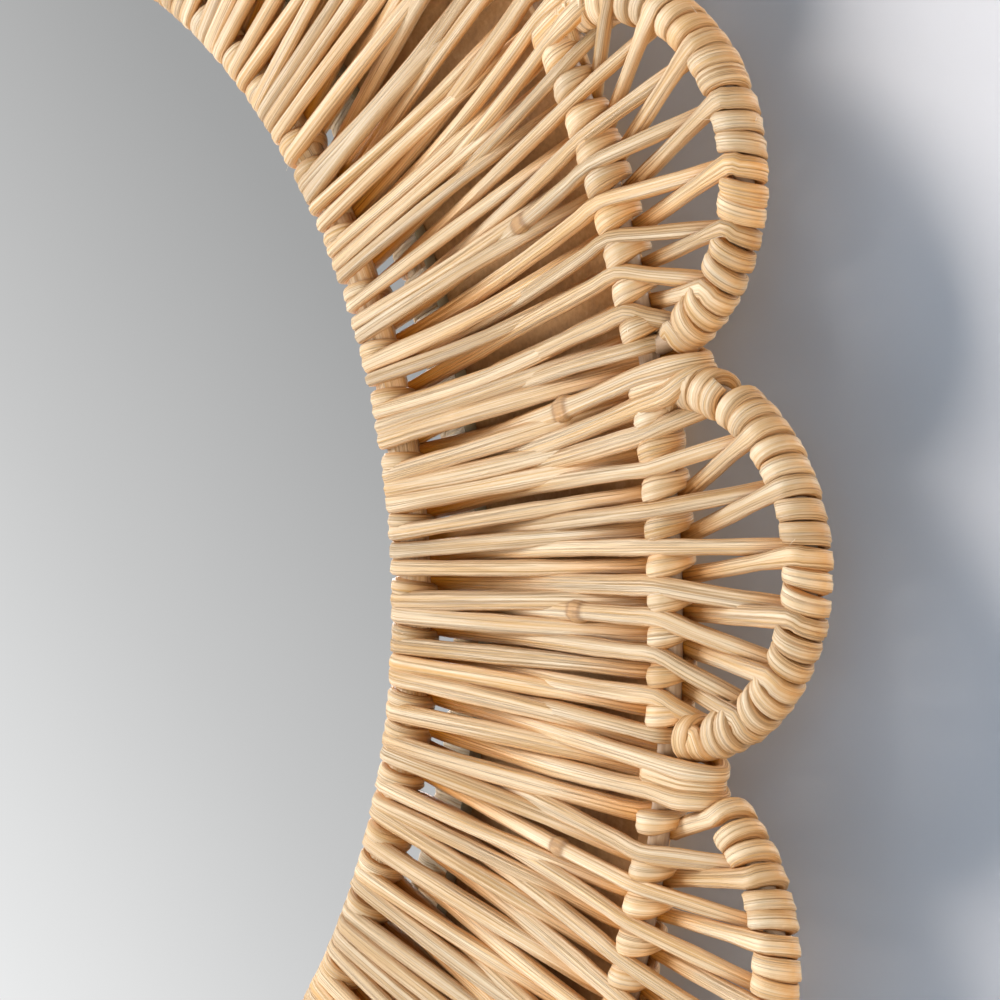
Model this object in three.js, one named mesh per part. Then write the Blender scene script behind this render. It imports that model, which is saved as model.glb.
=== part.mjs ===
// A round wall mirror in a woven rattan frame with a scalloped edge.
// A glass disc lies on a backing board, and the woven frame lies over the joint of the two.
// Rattan strands run from a wound inner rim over and under an outer hoop, and on to the bent
// scallop hoops that stand all round it. Millimetres, +Z up. The mirror faces -Y and the wall
// is the plane y = 0, with the origin at the centre of the board's back.
import * as THREE from "three";
import { mergeVertices } from "three/addons/utils/BufferGeometryUtils.js";

// Driving dimensions
const OVERALL_DIAMETER = 610;
const SCALLOPS = 18;
const STRANDS_PER_SCALLOP = 11;
const CLEARANCE = 0.3;

// Board and glass
const BOARD_RADIUS = 238;
const BOARD_THICKNESS = 9;
const BOARD_CHAMFER = 1.5;
const GLASS_RADIUS = 180;
const GLASS_THICKNESS = 4;
const DISC_SEGMENTS = 40;

// Hoops, as centrelines and half thicknesses
const RIM_RADIUS = 164;
const OUTER_HOOP_RADIUS = 254;
const ROD_RADIUS = 2.5;
const WOUND_RADIUS = 5.85;
const SCALLOP_BEND = 40.2;
const SCALLOP_HALF_TURN = THREE.MathUtils.degToRad(96);
const SCALLOP_END_RADIUS = 4.3;

// Strands between the hoops, each a long three-sided ridge that grows out of the rim.
// The foot and the top of its root are shares of the height of the rim's facet, and the foot
// leans a little, as a wound strand does.
const STRAND_WIDTH = 3.4;
const STRAND_THICKNESS = 3.3;
const ROOT_WIDTH = 2.2;
const ROOT_FOOT = 0.2;
const ROOT_LEAN = 0.04;
const ROOT_TOP = 0.85;
const SHORTEST_REACH = 6;

// Facets
const HOOP_SEGMENTS = 54;
const HOOP_SIDES = 5;
const SCALLOP_SEGMENTS = 10;
const RIM_SEGMENTS_PER_BAY = 2;
const ROUND_SIDES = 6;

// Sizes that follow from those above
const BAY_ANGLE = (2 * Math.PI) / SCALLOPS;
const STRAND_STEP = BAY_ANGLE / STRANDS_PER_SCALLOP;
const GLASS_BACK = BOARD_THICKNESS + CLEARANCE;
const GLASS_FRONT = GLASS_BACK + GLASS_THICKNESS;
const HOOP_PLANE = GLASS_FRONT + CLEARANCE + WOUND_RADIUS;
const SCALLOP_CENTRE = OVERALL_DIAMETER / 2 - WOUND_RADIUS - SCALLOP_BEND;
const RIM_END_GAP = CLEARANCE / 2 / RIM_RADIUS;
const STRAND_AT_HOOP = ROD_RADIUS + CLEARANCE + STRAND_THICKNESS / 2;
const ROOT_HALF_ANGLE = ROOT_WIDTH / 2 / RIM_RADIUS;

const RATTAN = new THREE.MeshStandardMaterial({ color: 0xd9b483, roughness: 0.62, metalness: 0 });
const ROD = new THREE.MeshStandardMaterial({ color: 0xb89c80, roughness: 0.6, metalness: 0 });
const FIBREBOARD = new THREE.MeshStandardMaterial({ color: 0x96735a, roughness: 0.85, metalness: 0 });
const SILVERED = new THREE.MeshStandardMaterial({ color: 0xe4e6e8, roughness: 0.04, metalness: 1 });

// A closed surface from a list of triangles, each of three points.
function closedGeometry(triangles) {
  const geometry = mergeVertices(new THREE.BufferGeometry().setFromPoints(triangles.flat()));
  geometry.computeVertexNormals();
  return geometry;
}

// The side facets between rings whose points turn anticlockwise as seen from the far end.
// Each facet is given as near point, next near point, next far point, far point.
function sideFacets(rings) {
  const facets = [];
  for (let step = 0; step + 1 < rings.length; step++) {
    const near = rings[step];
    const far = rings[step + 1];
    for (let side = 0; side < near.length; side++) {
      const next = (side + 1) % near.length;
      facets.push([near[side], near[next], far[next], far[side]]);
    }
  }
  return facets;
}

// The two triangles of a four-cornered facet.
function halves([first, second, third, fourth]) {
  return [
    [first, second, third],
    [first, third, fourth],
  ];
}

// A flat end as a fan of triangles, from points that turn anticlockwise as seen from outside.
function endFan(ring) {
  return ring.slice(1, -1).map((point, place) => [ring[0], point, ring[place + 2]]);
}

// Both flat ends of a run of rings.
function bothEnds(rings) {
  return [...endFan([...rings[0]].reverse()), ...endFan(rings[rings.length - 1])];
}

// A point of a bay that is centred on +X: its distance and angle from the mirror's axis, and
// its height in front of the plane of the hoops.
function bayPoint(distance, angle, height) {
  return new THREE.Vector3(
    distance * Math.cos(angle),
    -HOOP_PLANE - height,
    distance * Math.sin(angle),
  );
}

// The rings of a round bar bent to an arc in the plane of the hoops, about a centre on +X.
// radiusAt gives the bar's half thickness from the share of the way along. Each ring starts at
// the back and outer corner and ends at the outermost one.
function bentBarRings(centre, bend, fromAngle, toAngle, segments, radiusAt) {
  const rings = [];
  for (let step = 0; step <= segments; step++) {
    const share = step / segments;
    const angle = THREE.MathUtils.lerp(fromAngle, toAngle, share);
    const ring = [];
    for (let side = 1; side <= ROUND_SIDES; side++) {
      const around = (-side / ROUND_SIDES) * 2 * Math.PI;
      const distance = bend + radiusAt(share) * Math.cos(around);
      const point = bayPoint(distance, angle, radiusAt(share) * Math.sin(around));
      ring.push(point.setX(point.x + centre));
    }
    rings.push(ring);
  }
  return rings;
}

// A strand's section: two corners behind, and the ridge in front.
function strandSection(distance, angle, height) {
  const middle = bayPoint(distance, angle, height);
  const aside = new THREE.Vector3(-Math.sin(angle), 0, Math.cos(angle));
  aside.multiplyScalar(STRAND_WIDTH / 2);
  const forward = new THREE.Vector3(0, -STRAND_THICKNESS / 2, 0);
  return [
    middle.clone().sub(aside).sub(forward),
    middle.clone().add(aside).sub(forward),
    middle.clone().add(forward),
  ];
}

// How far out a strand at an angle can run before it meets the winding of its scallop hoop.
// Beside the valleys it stops over the outer hoop.
function reachAt(angle) {
  const clearBend = SCALLOP_BEND - WOUND_RADIUS - CLEARANCE - STRAND_WIDTH / 2;
  const aside = SCALLOP_CENTRE * Math.sin(angle);
  if (Math.abs(aside) >= clearBend) return OUTER_HOOP_RADIUS;
  return SCALLOP_CENTRE * Math.cos(angle) + Math.sqrt(clearBend ** 2 - aside ** 2);
}

// The strands of a bay that go out from the back of the rim and over the outer hoop.
function outgoingStrands() {
  return strandAngles(-STRAND_STEP / 4).map((angle) => {
    const stations = [[OUTER_HOOP_RADIUS, angle, STRAND_AT_HOOP]];
    const reach = reachAt(angle);
    if (reach > OUTER_HOOP_RADIUS + SHORTEST_REACH) {
      stations.push([reach, angle, -STRAND_THICKNESS / 2]);
    }
    return { angle, stations };
  });
}

// The strands of a bay that come back under the outer hoop to the front of the rim.
function returningStrands() {
  return strandAngles(STRAND_STEP / 4).map((angle) => ({
    angle,
    stations: [[OUTER_HOOP_RADIUS, angle, -STRAND_AT_HOOP]],
  }));
}

// The evenly spaced angles of a bay's strands, moved round by a shift.
function strandAngles(shift) {
  const first = -((STRANDS_PER_SCALLOP - 1) / 2) * STRAND_STEP;
  return Array.from({ length: STRANDS_PER_SCALLOP }, (_, count) => first + count * STRAND_STEP + shift);
}

// The triangles of one flat facet of the rim, and of the strands that grow out of it. The
// facet's corners run from the low near one, and each strand's root is a hole in the facet.
function rootedFacet([lowNear, lowFar, highFar, highNear], fromAngle, toAngle, strands) {
  const place = ([angle, rise]) => {
    const along = (angle - fromAngle) / (toAngle - fromAngle);
    const low = lowNear.clone().lerp(lowFar, along);
    const high = highNear.clone().lerp(highFar, along);
    return low.lerp(high, rise);
  };
  const flatten = ([angle, rise]) => new THREE.Vector2(angle * RIM_RADIUS, rise * WOUND_RADIUS);
  const outline = [
    [fromAngle, 0],
    [toAngle, 0],
    [toAngle, 1],
    [fromAngle, 1],
  ];
  const roots = strands.map(({ angle }) => [
    [angle - ROOT_HALF_ANGLE, ROOT_FOOT + ROOT_LEAN],
    [angle + ROOT_HALF_ANGLE, ROOT_FOOT - ROOT_LEAN],
    [angle, ROOT_TOP],
  ]);
  const rootPoints = roots.map((root) => root.map(place));
  const points = [lowNear, lowFar, highFar, highNear, ...rootPoints.flat()];
  const faces = THREE.ShapeUtils.triangulateShape(
    outline.map(flatten),
    roots.map((root) => root.map(flatten)),
  );
  const triangles = faces.map((face) => face.map((number) => points[number]));
  strands.forEach(({ stations }, number) => {
    const rings = [rootPoints[number], ...stations.map((station) => strandSection(...station))];
    triangles.push(...sideFacets(rings).flatMap(halves), ...endFan(rings[rings.length - 1]));
  });
  return triangles;
}

// One bay of weaving: its length of wound rim, with every outgoing and returning strand.
function weaveGeometry() {
  const halfRim = BAY_ANGLE / 2 - RIM_END_GAP;
  const rings = bentBarRings(
    0,
    RIM_RADIUS,
    -halfRim,
    halfRim,
    RIM_SEGMENTS_PER_BAY,
    () => WOUND_RADIUS,
  );
  const triangles = bothEnds(rings);
  const segmentAngle = (2 * halfRim) / RIM_SEGMENTS_PER_BAY;
  sideFacets(rings).forEach((corners, number) => {
    const side = number % ROUND_SIDES;
    const fromAngle = Math.floor(number / ROUND_SIDES) * segmentAngle - halfRim;
    const toAngle = fromAngle + segmentAngle;
    const isHere = ({ angle }) => angle > fromAngle && angle < toAngle;
    const [first, second, third, fourth] = corners;
    const fromLowNear = [second, third, fourth, first];
    if (side === ROUND_SIDES - 1) {
      triangles.push(...rootedFacet(fromLowNear, fromAngle, toAngle, outgoingStrands().filter(isHere)));
    } else if (side === ROUND_SIDES - 2) {
      triangles.push(...rootedFacet(fromLowNear, fromAngle, toAngle, returningStrands().filter(isHere)));
    } else {
      triangles.push(...halves(corners));
    }
  });
  return closedGeometry(triangles);
}

// A scallop hoop with its winding, thinner at the ends that meet the outer hoop.
function scallopGeometry() {
  const radiusAt = (share) =>
    THREE.MathUtils.lerp(WOUND_RADIUS, SCALLOP_END_RADIUS, (2 * share - 1) ** 2);
  const rings = bentBarRings(
    SCALLOP_CENTRE,
    SCALLOP_BEND,
    -SCALLOP_HALF_TURN,
    SCALLOP_HALF_TURN,
    SCALLOP_SEGMENTS,
    radiusAt,
  );
  return closedGeometry([...sideFacets(rings).flatMap(halves), ...bothEnds(rings)]);
}

// The board, with its front edge eased.
function boardGeometry() {
  const profile = [
    new THREE.Vector2(0, -BOARD_THICKNESS),
    new THREE.Vector2(BOARD_RADIUS - BOARD_CHAMFER, -BOARD_THICKNESS),
    new THREE.Vector2(BOARD_RADIUS, BOARD_CHAMFER - BOARD_THICKNESS),
    new THREE.Vector2(BOARD_RADIUS, 0),
    new THREE.Vector2(0, 0),
  ];
  return new THREE.LatheGeometry(profile, DISC_SEGMENTS);
}

// The silvered glass disc.
function glassGeometry() {
  const profile = [
    new THREE.Vector2(0, -GLASS_FRONT),
    new THREE.Vector2(GLASS_RADIUS, -GLASS_FRONT),
    new THREE.Vector2(GLASS_RADIUS, -GLASS_BACK),
    new THREE.Vector2(0, -GLASS_BACK),
  ];
  return new THREE.LatheGeometry(profile, DISC_SEGMENTS);
}

// A named mesh, added to a group.
function addPiece(group, name, geometry, material) {
  const mesh = new THREE.Mesh(geometry, material);
  mesh.name = name;
  group.add(mesh);
  return mesh;
}

const mirror = new THREE.Group();
addPiece(mirror, "backing_board", boardGeometry(), FIBREBOARD);
addPiece(mirror, "mirror_glass", glassGeometry(), SILVERED);

const hoopShape = new THREE.TorusGeometry(OUTER_HOOP_RADIUS, ROD_RADIUS, HOOP_SIDES, HOOP_SEGMENTS);
const outerHoop = addPiece(mirror, "outer_hoop", hoopShape, ROD);
outerHoop.position.y = -HOOP_PLANE;
outerHoop.rotation.x = Math.PI / 2;

const weaveShape = weaveGeometry();
const scallopShape = scallopGeometry();
for (let bay = 0; bay < SCALLOPS; bay++) {
  const number = String(bay + 1).padStart(2, "0");
  const turned = new THREE.Group();
  turned.rotation.y = -bay * BAY_ANGLE;
  addPiece(turned, "weave_" + number, weaveShape, RATTAN);
  addPiece(turned, "scallop_hoop_" + number, scallopShape, RATTAN);
  mirror.add(turned);
}

export default mirror;
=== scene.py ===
import math

import bpy
import numpy as np
from mathutils import Matrix, Vector


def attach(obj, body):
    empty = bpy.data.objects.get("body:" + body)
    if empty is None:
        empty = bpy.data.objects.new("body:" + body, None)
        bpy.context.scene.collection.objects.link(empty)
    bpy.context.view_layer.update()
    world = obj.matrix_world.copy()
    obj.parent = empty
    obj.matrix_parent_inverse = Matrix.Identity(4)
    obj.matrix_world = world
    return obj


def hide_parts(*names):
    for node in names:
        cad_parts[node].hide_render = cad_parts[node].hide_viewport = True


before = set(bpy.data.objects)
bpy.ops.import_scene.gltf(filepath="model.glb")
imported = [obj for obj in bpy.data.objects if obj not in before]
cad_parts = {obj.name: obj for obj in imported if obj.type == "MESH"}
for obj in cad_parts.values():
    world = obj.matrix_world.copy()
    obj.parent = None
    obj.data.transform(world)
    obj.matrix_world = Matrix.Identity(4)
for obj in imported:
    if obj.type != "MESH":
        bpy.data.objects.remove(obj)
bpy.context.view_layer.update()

# Sizes in metres, the same as the solids have
MM = 0.001
SCALLOPS = 18
HOOP_PLANE = 19.45 * MM
RIM_RADIUS = 164 * MM
OUTER_HOOP_RADIUS = 254 * MM
SCALLOP_CENTRE = 258.95 * MM
SCALLOP_BEND = 40.2 * MM
ROD_RADIUS = 2.5 * MM
BOARD_RADIUS = 238 * MM
BOARD_FRONT = 9 * MM
GLASS_RADIUS = 180 * MM
GLASS_BACK = 9.3 * MM
GLASS_FRONT = 13.3 * MM

# Edges of the glass and the board, and how finely the discs and rods are divided
GLASS_BEVEL = 0.5 * MM
SILVER_DEPTH = GLASS_BACK + 0.4 * MM
SILVER_EDGE = GLASS_RADIUS - 0.9 * GLASS_BEVEL
BOARD_CHAMFER = 1.5 * MM
DISC_SEGMENTS = 180
HOOP_SEGMENTS = 216
ROD_SIDES = 14
ARCH_ROD_ROWS = 61
ROD_TIP = 0.08

# The strand, as it lies straight and as it is pressed flat where it is wound
STRAND_WIDTH = 4.35 * MM
STRAND_THICKNESS = 3.3 * MM
WIDTH_SPREAD = 0.15
WOUND_WIDTH = 4.85 * MM
COIL_WIDTH = 6.2 * MM
COIL_INNER_WIDTH = 4.7 * MM
COIL_OUTER_WIDTH = 4.4 * MM
VALLEY_WIDTH = 5.2 * MM
VALLEY_COIL_WIDTH = 6.4 * MM
NOTCH_WIDTH = 4.1 * MM
STRAIGHT_SQUARENESS = 2.3
WOUND_SQUARENESS = 3.2
LIFT = ROD_RADIUS + STRAND_THICKNESS / 2
STRAND_SIDES = 18

# How far a strand is pressed flat, from 0 where it lies straight to 1
ARCH_PRESS = 1.0
COIL_PRESS = 0.5
RIM_PRESS = 0.3
VALLEY_PRESS = 0.2
CUT_PRESS = 0.6

# The ridges and swells along a strand, as shares of its size
RIDGE_SIZE = 0.035
WOUND_RIDGE_SIZE = 0.06
RIDGE_WAVES = (3, 5, 8)
RIDGE_WAVE = 90 * MM
RIDGE_TWIST = 0.5
SWELL_SIZE = 0.08
SWELL_WAVE = 45 * MM
LONG_WAVE_SHARE = 0.6
SHORT_WAVE_SHARE = 0.4
SHORT_WAVE_LENGTH = 0.43

# How far a strand strays: its straight runs, its turns on an arch, and its places on the hoop and rim
SPAN_SWAY = 0.75 * MM
SPAN_BOW = 0.3 * MM
WRAP_DRIFT = math.radians(0.5)
WRAP_RISE = 0.1 * MM
ALIKE_POINTS = 5
HOOP_JITTER = math.radians(0.17)
RIM_JITTER = 0.1

# How finely a route is divided: the step of its turns, and the samples between two of its points
QUARTER = math.pi / 2
TURN_STEP = math.radians(36)
PLAIN_STEPS = 2
FINE_STEPS = 3

# Where the strands of a bay cross the outer hoop, counted upwards on the right of the mirror
BAY_ANGLE = 2 * math.pi / SCALLOPS
MAIN_STRANDS = 9
VALLEY_STRANDS = 2
FIRST_STRAND = math.radians(-8.9)
MAIN_STEP = math.radians(1.95)

# Where the strands go under a scallop hoop, as turns about the scallop's own centre
FIRST_ARCH_TURN = math.radians(-81)
ARCH_STEP = math.radians(21.4)
ARCH_START = math.radians(-93)
ARCH_FINISH = math.radians(90)
ARCH_ROD_END = math.radians(99)
TURNS_PER_STRAND = 3

# The winding of the rim, where some strands take one turn more. A strand moves on by so many slots for
# each turn, less what is tucked behind.
RIM_SLOTS = 15
RIM_SHIFT = math.radians(0.9)
RIM_SLOT = BAY_ANGLE / RIM_SLOTS
RIM_WRAP_START = QUARTER + 0.2
RIM_TURN_SLOTS = 0.6
RIM_TUCKED_SLOTS = 0.1
DOUBLED_FROM = 0.25
DOUBLED_SPREAD = 0.5
RIM_UNDERLAYER = 3.9 * MM
UNDERLAYER_ROWS = 11
UNDERLAYER_SIDES = 10

# The runs between the hoops: the shares of a run that have points, and how steeply it crosses
SPAN_SHARES = (0.1, 0.26, 0.42, 0.58, 0.74, 0.9)
CROSSING_POWER = 1.27
ARCH_OUT_SHARES = (0.3, 0.65)
ARCH_BACK_SHARES = (0.3, 0.6, 0.85)
HOOP_CROWN = 0.6 * MM

# A coil round the outer hoop, from its back over its inner side and its front
COIL_TILT = 0.3 * MAIN_STEP
COIL_FRONT_TILT = 0.7
COIL_FROM = 2.4 * QUARTER
COIL_TO = -0.4 * QUARTER

# The strands in the notch between two scallops, one of them coiled and the other passing once
NOTCH_MIDDLE = 262 * MM
NOTCH_REACH = 9 * MM
NOTCH_SPREADS = (0.3, 0.8)
NOTCH_DROP = math.radians(0.3)
NOTCH_QUARTERS = (0.9, 0.55, 0.2, -0.2, -0.6, -1.0)
COILED_RISES = (1.2 * MM, 0.0)
SINGLE_RISE = 0.6 * MM
VALLEY_COIL_FROM = 2.5 * QUARTER
VALLEY_COIL_TO = 1.4 * QUARTER

# Bays that the photograph shows wound otherwise: an arch's first or last turn, how far a valley's
# strands lie apart, and how wide the strands are and how far they stray
SEEN_STARTS = {1: math.radians(-86)}
SEEN_FINISHES = {17: math.radians(71.5)}
SEEN_SPREADS = {0: 0.3, 17: 0.85}
SEEN_WIDTHS = {1: 0.86, 2: 0.86}
SEEN_SWAYS = {1: 1.5 * MM, 2: 1.5 * MM}

# The strand that is cut off on the front of its arch. Its end stands off and lies down behind.
CUT_BAY = 0
CUT_STRAND = 7
CUT_LIFT = 1.0 * MM
CUT_QUARTERS = (0.45, 0.8, 1.2, 1.7, 2.2, 2.7)
CUT_DOWN_QUARTERS = 2

# Knots of the cane that the photograph shows, as millimetres and degrees about the mirror's axis
SEEN_KNOTS = ((224.9, 21.1), (220.8, 9.8), (225.2, -3.8), (221.7, -18.0))

# The knots' shape, and how many the other bays have and where
KNOT_REACH = 2.5 * MM
KNOT_SWELL = 0.28
KNOT_SHARPNESS = 4
KNOT_DEPTH_COST = 2.0
KNOT_STEPS = (-1.6, -1.2, -0.9, -0.5, 0.5, 0.9, 1.2, 1.6)
MOST_KNOTS = 3
KNOT_INNER = 185 * MM
KNOT_OUTER = 245 * MM

# The loose fibres of a bundle of strands
HAIRS = 6
HAIR_RADIUS = 0.13 * MM
HAIR_ROOT = 1.1
HAIR_LENGTHS = (3 * MM, 6 * MM)
HAIR_FORWARD = (0.1, 0.4)
HAIR_ASIDE = 0.4
HAIR_CURL = 0.6
HAIR_ROWS = 6
HAIR_SIDES = 5
HAIR_TONE = 1.0

# How much painted shade, a warm golden tint, a strand gets: on its sides, and where it faces the other layer
# of strands
PAINTED_SHADE_ASIDE = 0.55
PAINTED_SHADE_COVERED = 0.9

RANDOM_SEED = 11
FRONT = np.array((0.0, -1.0, 0.0))
STRAND_MAP = "strand"

# The camera, at the photograph's viewing angle, with its angles in radians
CAMERA_TARGET = (195.7 * MM, 14.5 * MM)
CAMERA_DISTANCE = 1.6638
CAMERA_AZIMUTH = 0.85148
CAMERA_ELEVATION = 0.02875
CAMERA_ROLL = -0.04268
CAMERA_LENS = 255.39
SENSOR = 36

# The stage: a wall behind the mirror and a floor below it
STAGE_HALF = 3.0
WALL_TOP = 2.5
FLOOR_LEVEL = -0.7
WALL_GAP = 6 * MM
WALL_COLOUR = (0.475, 0.515, 0.58, 1)
FLOOR_COLOUR = (0.80, 0.80, 0.81, 1)
STAGE_GRAIN = 60
STAGE_DARKER = 0.97

# What the lights aim at, and their colours
MIRROR_MIDDLE = (0, 0, 0)
WEAVE_RIGHT = (0.2, 0, 0)
WALL_RIGHT = (0.3, 0, 0)
SOFT_WHITE = (1.0, 0.98, 0.95)
BACK_WHITE = (1.0, 0.98, 0.96)
WALL_WARM = (1.0, 0.856, 0.732)
WALL_COOL = (0.03, 0.5, 0.9)
GOLDEN = (1.0, 0.85, 0.62)

# The soft band of light that the mirror shows, as stops of direction and brightness
BAND_LEAN = (-0.819, -0.573)
BAND_STOPS = (
    (-0.6, 0.22),
    (-0.06, 0.30),
    (0.0, 0.40),
    (0.05, 0.63),
    (0.1, 0.92),
    (0.16, 1.0),
    (0.5, 0.25),
)


# Points of a bay that is centred on +X

def mix(first, second, share):
    return first + (second - first) * share


def polar(distance, angle, height):
    """A point by its distance and angle from the mirror's axis and its height before the hoops."""
    return np.array((
        distance * math.cos(angle),
        -HOOP_PLANE - height,
        distance * math.sin(angle),
    ))


def ring_point(ring_radius, lift, around, angle):
    """A point beside a hoop. Around is 0 outside it, a quarter turn in front and a half turn inside."""
    return polar(ring_radius + lift * math.cos(around), angle, lift * math.sin(around))


def ring_outward(around, angle):
    """The direction away from a hoop's own axis."""
    outside = np.array((math.cos(angle), 0.0, math.sin(angle)))
    return math.cos(around) * outside + math.sin(around) * FRONT


def arch_point(lift, around, turn):
    """A point beside a scallop hoop at a turn about the scallop's centre."""
    distance = SCALLOP_BEND + lift * math.cos(around)
    return np.array((
        SCALLOP_CENTRE + distance * math.cos(turn),
        -HOOP_PLANE - lift * math.sin(around),
        distance * math.sin(turn),
    ))


# Strands, and the meshes that are made of them

class Strand:
    """A strand's route: points, the way its flat side faces, its width, how far it is pressed flat,
    and the steps to the next point. Sway is how far its straight runs may stray."""

    def __init__(self, tone, sway=SPAN_SWAY):
        self.points = []
        self.facing = []
        self.widths = []
        self.pressed = []
        self.steps = []
        self.tone = tone
        self.sway = sway

    def to(self, point, facing, width, steps=PLAIN_STEPS, pressed=0.0):
        """Leads the route on to a point. A facing that would flip the strand over is reversed."""
        if self.facing and np.dot(self.facing[-1], facing) < 0:
            facing = -facing
        self.points.append(point)
        self.facing.append(facing)
        self.widths.append(width)
        self.pressed.append(pressed)
        self.steps.append(steps)

    def round_ring(self, ring_radius, from_around, to_around, from_angle, to_angle, widths, pressed):
        """Winds round a hoop. Widths are those inside the hoop, in front of it and outside it."""
        inner_width, front_width, outer_width = widths
        count = max(1, round(abs(to_around - from_around) / TURN_STEP))
        for number in range(count + 1):
            around = mix(from_around, to_around, number / count)
            angle = mix(from_angle, to_angle, number / count)
            beside = inner_width if math.cos(around) < 0 else outer_width
            width = mix(beside, front_width, max(0.0, math.sin(around)))
            point = ring_point(ring_radius, LIFT, around, angle)
            self.to(point, ring_outward(around, angle), width, pressed=pressed)

    def round_arch(self, rng, from_around, to_around, from_turn, to_turn):
        """Winds round a scallop hoop, a little unevenly."""
        count = max(1, round(abs(to_around - from_around) / TURN_STEP))
        drift = smooth_random(rng, count + 1, WRAP_DRIFT)
        rise = smooth_random(rng, count + 1, WRAP_RISE)
        for number in range(count + 1):
            around = mix(from_around, to_around, number / count)
            turn = mix(from_turn, to_turn, number / count) + drift[number]
            point = arch_point(LIFT + rise[number], around, turn)
            self.to(point, ring_outward(around, turn), WOUND_WIDTH, pressed=ARCH_PRESS)

    def sampled(self):
        """The route as a smooth curve: points, facings, widths and pressing."""
        points = np.array(self.points)
        points = np.vstack((2 * points[0] - points[1], points, 2 * points[-1] - points[-2]))
        facing = np.array(self.facing)
        places, faces, widths, pressed = [], [], [], []
        for number in range(len(self.points) - 1):
            before, start, end, after = points[number:number + 4]
            share = (np.arange(self.steps[number]) / self.steps[number])[:, None]
            places.append(0.5 * (
                2 * start
                + (end - before) * share
                + (2 * before - 5 * start + 4 * end - after) * share ** 2
                + (3 * start - before - 3 * end + after) * share ** 3
            ))
            faces.append(mix(facing[number], facing[number + 1], share))
            widths.append(mix(self.widths[number], self.widths[number + 1], share[:, 0]))
            pressed.append(mix(self.pressed[number], self.pressed[number + 1], share[:, 0]))
        places.append(points[-2][None])
        faces.append(facing[-1][None])
        widths.append(np.array(self.widths[-1:]))
        pressed.append(np.array(self.pressed[-1:]))
        return np.vstack(places), np.vstack(faces), np.concatenate(widths), np.concatenate(pressed)


class Bundle:
    """Gathers swept strands and makes one mesh of them."""

    def __init__(self):
        self.vertices = []
        self.faces = []
        self.corners = []
        self.values = {"tone": [], "knot": [], "painted_shade": []}
        self.materials = []
        self.count = 0

    def sweep(self, places, facing, shape, tone, knots=None, material=0):
        """Adds a closed strand along a curve. Shape is how far each ring's points lie aside and upward."""
        along = np.gradient(places, axis=0)
        along /= np.linalg.norm(along, axis=1)[:, None]
        facing = facing - along * np.sum(facing * along, axis=1)[:, None]
        facing /= np.linalg.norm(facing, axis=1)[:, None]
        aside = np.cross(along, facing)
        across, upward = shape
        rows, sides = across.shape
        ring = places[:, None] + aside[:, None] * across[:, :, None] + facing[:, None] * upward[:, :, None]
        self.vertices.append(ring.reshape(-1, 3))
        knots = np.zeros(rows) if knots is None else knots
        self.values["tone"].append(np.full(rows * sides, tone))
        self.values["knot"].append(np.repeat(knots, sides))
        # Painted shade: a warm golden tint kept per point for the strand's sides and its faces toward the
        # other layer
        self.values["painted_shade"].append(painted_shade_share(ring, places))
        self.add_faces(rows, sides, run_lengths(places))
        self.materials.extend([material] * (len(self.faces) - len(self.materials)))

    def add_faces(self, rows, sides, lengths):
        """The faces of a strand's side and ends, mapped by the length along it and the share round it."""
        start = self.count
        self.count += rows * sides
        for row in range(rows - 1):
            near = start + row * sides
            far = near + sides
            here, there = lengths[row], lengths[row + 1]
            for side in range(sides):
                other = (side + 1) % sides
                self.faces.append((near + side, far + side, far + other, near + other))
                low, high = side / sides, (side + 1) / sides
                self.corners.extend((here, low, there, low, there, high, here, high))
        last = start + (rows - 1) * sides
        self.faces.append(tuple(range(start, start + sides)))
        self.corners.extend((0.0, 0.0) * sides)
        self.faces.append(tuple(reversed(range(last, last + sides))))
        self.corners.extend((lengths[-1], 0.0) * sides)

    def mesh(self, name, turn):
        """One smooth mesh of all the strands, turned about the mirror's axis."""
        vertices = np.vstack(self.vertices)
        cosine, sine = math.cos(turn), math.sin(turn)
        turned = np.column_stack((
            cosine * vertices[:, 0] - sine * vertices[:, 2],
            vertices[:, 1],
            sine * vertices[:, 0] + cosine * vertices[:, 2],
        ))
        mesh = bpy.data.meshes.new(name)
        mesh.from_pydata(turned.tolist(), [], self.faces)
        mesh.uv_layers.new(name=STRAND_MAP).data.foreach_set("uv", self.corners)
        for label, values in self.values.items():
            mesh.attributes.new(label, "FLOAT", "POINT").data.foreach_set("value", np.concatenate(values))
        mesh.polygons.foreach_set("material_index", self.materials)
        mesh.shade_smooth()
        mesh.update()
        return mesh


def painted_shade_share(ring, places):
    """How much painted shade, a warm golden tint, each point of a strand's rings gets, by how far it faces
    aside or the other layer.
    """
    away = ring - places[:, None]
    away /= np.linalg.norm(away, axis=2)[:, :, None]
    layer = np.clip((places @ FRONT - HOOP_PLANE) / LIFT, -1, 1)[:, None]
    forward = away @ FRONT
    covered = np.maximum(-forward * layer, 0)
    return (PAINTED_SHADE_ASIDE * (1 - np.abs(forward)) + PAINTED_SHADE_COVERED * covered).ravel()


def run_lengths(places):
    """The length of a curve up to each of its points."""
    return np.concatenate(((0.0,), np.cumsum(np.linalg.norm(np.diff(places, axis=0), axis=1))))


def wander(rng, lengths, wave, size):
    """A smooth random change along a strand, as the sum of a long and a short wave."""
    phases = rng.uniform(0, 2 * math.pi, 2)
    return size * (
        LONG_WAVE_SHARE * np.sin(2 * math.pi * lengths / wave + phases[0])
        + SHORT_WAVE_SHARE * np.sin(2 * math.pi * lengths / (SHORT_WAVE_LENGTH * wave) + phases[1])
    )


def smooth_random(rng, count, size):
    """A row of random values in which neighbours are alike."""
    values = rng.normal(0, size, count // ALIKE_POINTS + 2)
    return np.interp(np.linspace(0, len(values) - 1, count), np.arange(len(values)), values)


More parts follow.
